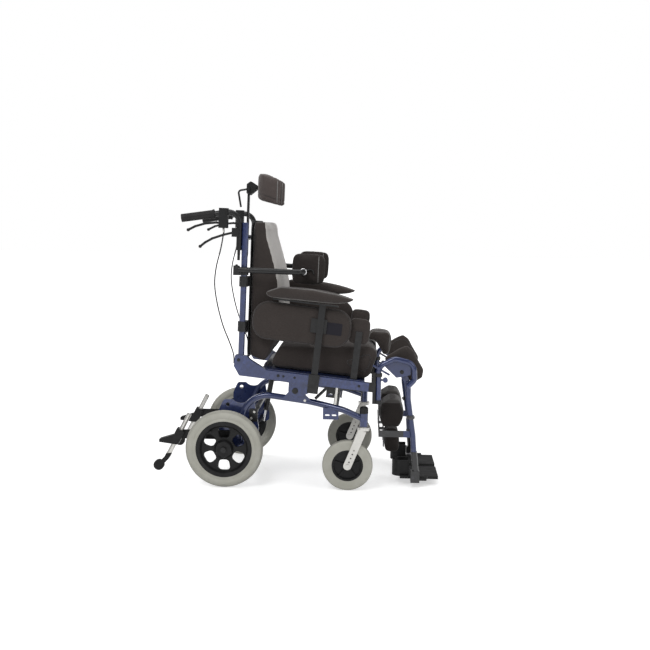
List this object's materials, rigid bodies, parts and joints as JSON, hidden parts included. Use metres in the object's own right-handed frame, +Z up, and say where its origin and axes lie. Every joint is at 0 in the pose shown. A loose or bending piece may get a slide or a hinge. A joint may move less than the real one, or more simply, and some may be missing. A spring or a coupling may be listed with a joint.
{
  "type": "tilt-in-space wheelchair",
  "caption": "Attendant wheelchair with tilt-in-space seat, padded back, wing headrest, side trunk pads, swing-away leg rests, castors and air-tyred rear wheels.",
  "frame": {"origin": "on the floor under the centre of the box of the whole chair", "axes": "+X forward, +Y to the left of the sitter, +Z up"},
  "size_m": [1.1534, 0.612, 1.2566],
  "materials": {
    "blue_paint": "satin metallic blue paint",
    "grey_tyre": "matte light grey rubber",
    "black_plastic": "matte black moulded plastic",
    "black_grip": "soft matte black rubber",
    "bright_alloy": "satin bright alloy",
    "dark_cloth": "dark woven cloth with piping",
    "black_metal": "satin black coating"
  },
  "bodies": {
    "base": {"base_side_frames": "blue_paint", "base_cross_tubes": "black_metal", "castor_caps": "black_plastic", "axles_and_pins": "bright_alloy", "anti_tip_clamps": "black_plastic"},
    "seat": {"seat_frame": "blue_paint", "seat_sockets": "black_metal", "stop_posts": "bright_alloy", "seat_cushion": "dark_cloth", "pommel": "dark_cloth", "hip_pads": "dark_cloth", "back_frame": "blue_paint", "back_clamps": "black_metal", "back_shell": "black_plastic", "back_cushion": "dark_cloth", "push_handles": "black_metal", "hand_grips": "black_grip", "brake_cables": "black_metal"},
    "spring_rod": {"gas_spring_rod": "bright_alloy"},
    "spring_cylinder": {"gas_spring_cylinder": "black_metal"},
    "tilt_lever": {"tilt_lever": "black_metal"},
    "headrest_stem": {"headrest_stem": "black_metal"},
    "headrest": {"headrest_bracket": "black_metal", "headrest_pad": "dark_cloth"},
    "rear_wheel_right": {"rear_tyre_right": "grey_tyre", "rear_rim_right": "black_plastic"},
    "castor_fork_right": {"castor_fork_right": "bright_alloy"},
    "castor_wheel_right": {"castor_tyre_right": "grey_tyre", "castor_rim_right": "black_plastic"},
    "anti_tip_right": {"anti_tip_tube_right": "bright_alloy"},
    "anti_tip_wheel_right": {"anti_tip_wheel_right": "black_plastic"},
    "brake_lever_right": {"brake_lever_right": "black_metal"},
    "trunk_right": {"trunk_arm_right": "black_metal", "trunk_pad_right": "dark_cloth"},
    "armrest_right": {"armrest_right": "black_metal", "arm_pad_right": "dark_cloth", "side_panel_right": "dark_cloth"},
    "legrest_right": {"legrest_hanger_right": "blue_paint", "knee_pad_right": "dark_cloth"},
    "leg_right": {"leg_tube_right": "blue_paint", "calf_pad_right": "dark_cloth"},
    "footplate_right": {"footplate_right": "black_plastic"},
    "rear_wheel_left": {"rear_tyre_left": "grey_tyre", "rear_rim_left": "black_plastic"},
    "castor_fork_left": {"castor_fork_left": "bright_alloy"},
    "castor_wheel_left": {"castor_tyre_left": "grey_tyre", "castor_rim_left": "black_plastic"},
    "anti_tip_left": {"anti_tip_tube_left": "bright_alloy"},
    "anti_tip_wheel_left": {"anti_tip_wheel_left": "black_plastic"},
    "brake_lever_left": {"brake_lever_left": "black_metal"},
    "trunk_left": {"trunk_arm_left": "black_metal", "trunk_pad_left": "dark_cloth"},
    "armrest_left": {"armrest_left": "black_metal", "arm_pad_left": "dark_cloth", "side_panel_left": "dark_cloth"},
    "legrest_left": {"legrest_hanger_left": "blue_paint", "knee_pad_left": "dark_cloth"},
    "leg_left": {"leg_tube_left": "blue_paint", "calf_pad_left": "dark_cloth"},
    "footplate_left": {"footplate_left": "black_plastic"}
  },
  "joints": [
    {"name": "tilt", "type": "hinge", "parent": "base", "child": "seat", "pos_m": [-0.00455, 0, 0.386], "axis": [0, -1, 0], "range_deg": [0, 22]},
    {"name": "spring_swing", "type": "hinge", "parent": "base", "child": "spring_rod", "pos_m": [-0.15655, 0, 0.199], "axis": [0, -1, 0], "range_deg": [-0.5, 3.16]},
    {"name": "spring_stroke", "type": "slide", "parent": "spring_rod", "child": "spring_cylinder", "axis": [0.1806, 0, 0.9836], "range_m": [-0.0473, 0.0005]},
    {"name": "rear_wheel_right_spin", "type": "hinge", "parent": "base", "child": "rear_wheel_right", "pos_m": [-0.28155, -0.275, 0.155], "axis": [0, 1, 0], "continuous": true},
    {"name": "castor_right_swivel", "type": "hinge", "parent": "base", "child": "castor_fork_right", "pos_m": [0.27145, -0.272, 0], "axis": [0, 0, 1], "continuous": true},
    {"name": "castor_right_spin", "type": "hinge", "parent": "castor_fork_right", "child": "castor_wheel_right", "pos_m": [0.20945, -0.272, 0.1], "axis": [0, 1, 0], "continuous": true},
    {"name": "anti_tip_right_slide", "type": "slide", "parent": "base", "child": "anti_tip_right", "axis": [0.454, 0, 0.891], "range_m": [-0.035, 0.03]},
    {"name": "anti_tip_right_wheel_spin", "type": "hinge", "parent": "anti_tip_right", "child": "anti_tip_wheel_right", "pos_m": [-0.55569, -0.219, 0.0694], "axis": [0, 1, 0], "continuous": true},
    {"name": "rear_wheel_left_spin", "type": "hinge", "parent": "base", "child": "rear_wheel_left", "pos_m": [-0.28155, 0.275, 0.155], "axis": [0, 1, 0], "continuous": true},
    {"name": "castor_left_swivel", "type": "hinge", "parent": "base", "child": "castor_fork_left", "pos_m": [0.27145, 0.272, 0], "axis": [0, 0, 1], "continuous": true},
    {"name": "castor_left_spin", "type": "hinge", "parent": "castor_fork_left", "child": "castor_wheel_left", "pos_m": [0.20945, 0.272, 0.1], "axis": [0, 1, 0], "continuous": true},
    {"name": "anti_tip_left_slide", "type": "slide", "parent": "base", "child": "anti_tip_left", "axis": [0.454, 0, 0.891], "range_m": [-0.035, 0.03]},
    {"name": "anti_tip_left_wheel_spin", "type": "hinge", "parent": "anti_tip_left", "child": "anti_tip_wheel_left", "pos_m": [-0.55569, 0.219, 0.0694], "axis": [0, 1, 0], "continuous": true},
    {"name": "brake_lever_right_squeeze", "type": "hinge", "parent": "seat", "child": "brake_lever_right", "pos_m": [-0.29242, -0.239, 1.04557], "axis": [0, 1, 0], "range_deg": [0, 8], "stiffness_Nm_per_rad": 0.8, "springref_deg": -5.73},
    {"name": "brake_lever_left_squeeze", "type": "hinge", "parent": "seat", "child": "brake_lever_left", "pos_m": [-0.29242, 0.239, 1.04557], "axis": [0, 1, 0], "range_deg": [0, 8], "stiffness_Nm_per_rad": 0.8, "springref_deg": -5.73},
    {"name": "tilt_lever_squeeze", "type": "hinge", "parent": "seat", "child": "tilt_lever", "pos_m": [-0.2499, -0.239, 1.0118], "axis": [0, 1, 0], "range_deg": [0, 10], "stiffness_Nm_per_rad": 0.8, "springref_deg": -5.73},
    {"name": "headrest_height", "type": "slide", "parent": "seat", "child": "headrest_stem", "axis": [0.0297, 0, 0.9996], "range_m": [-0.015, 0.06]},
    {"name": "headrest_tilt", "type": "hinge", "parent": "headrest_stem", "child": "headrest", "pos_m": [-0.19241, 0, 1.19617], "axis": [0, 1, 0], "range_deg": [-15, 15]},
    {"name": "trunk_right_swing", "type": "hinge", "parent": "seat", "child": "trunk_right", "pos_m": [-0.23618, -0.2705, 0.86733], "axis": [-0.0297, 0, -0.9996], "range_deg": [0, 80]},
    {"name": "armrest_right_height", "type": "slide", "parent": "seat", "child": "armrest_right", "axis": [0.1063, 0, 0.9943], "range_m": [-0.06, 0]},
    {"name": "legrest_right_swing", "type": "hinge", "parent": "seat", "child": "legrest_right", "pos_m": [0.32666, -0.24, 0.40793], "axis": [0, 0, -1], "range_deg": [0, 90]},
    {"name": "leg_right_raise", "type": "hinge", "parent": "legrest_right", "child": "leg_right", "pos_m": [0.41866, -0.24, 0.46993], "axis": [0, -1, 0], "range_deg": [0, 60]},
    {"name": "footplate_right_flip", "type": "hinge", "parent": "leg_right", "child": "footplate_right", "pos_m": [0.32666, -0.188, 0.03193], "axis": [1, 0, 0], "range_deg": [0, 90]},
    {"name": "trunk_left_swing", "type": "hinge", "parent": "seat", "child": "trunk_left", "pos_m": [-0.23618, 0.2705, 0.86733], "axis": [0.0297, 0, 0.9996], "range_deg": [0, 80]},
    {"name": "armrest_left_height", "type": "slide", "parent": "seat", "child": "armrest_left", "axis": [0.1063, 0, 0.9943], "range_m": [-0.06, 0]},
    {"name": "legrest_left_swing", "type": "hinge", "parent": "seat", "child": "legrest_left", "pos_m": [0.32666, 0.24, 0.40793], "axis": [0, 0, 1], "range_deg": [0, 90]},
    {"name": "leg_left_raise", "type": "hinge", "parent": "legrest_left", "child": "leg_left", "pos_m": [0.41866, 0.24, 0.46993], "axis": [0, -1, 0], "range_deg": [0, 60]},
    {"name": "footplate_left_flip", "type": "hinge", "parent": "leg_left", "child": "footplate_left", "pos_m": [0.32666, 0.188, 0.03193], "axis": [-1, 0, 0], "range_deg": [0, 90]}
  ],
  "couplings": [
    {"joint": "spring_swing", "follows": "tilt", "ratio": 0.12109},
    {"joint": "spring_stroke", "follows": "tilt", "m_per_rad": -0.12046}
  ]
}
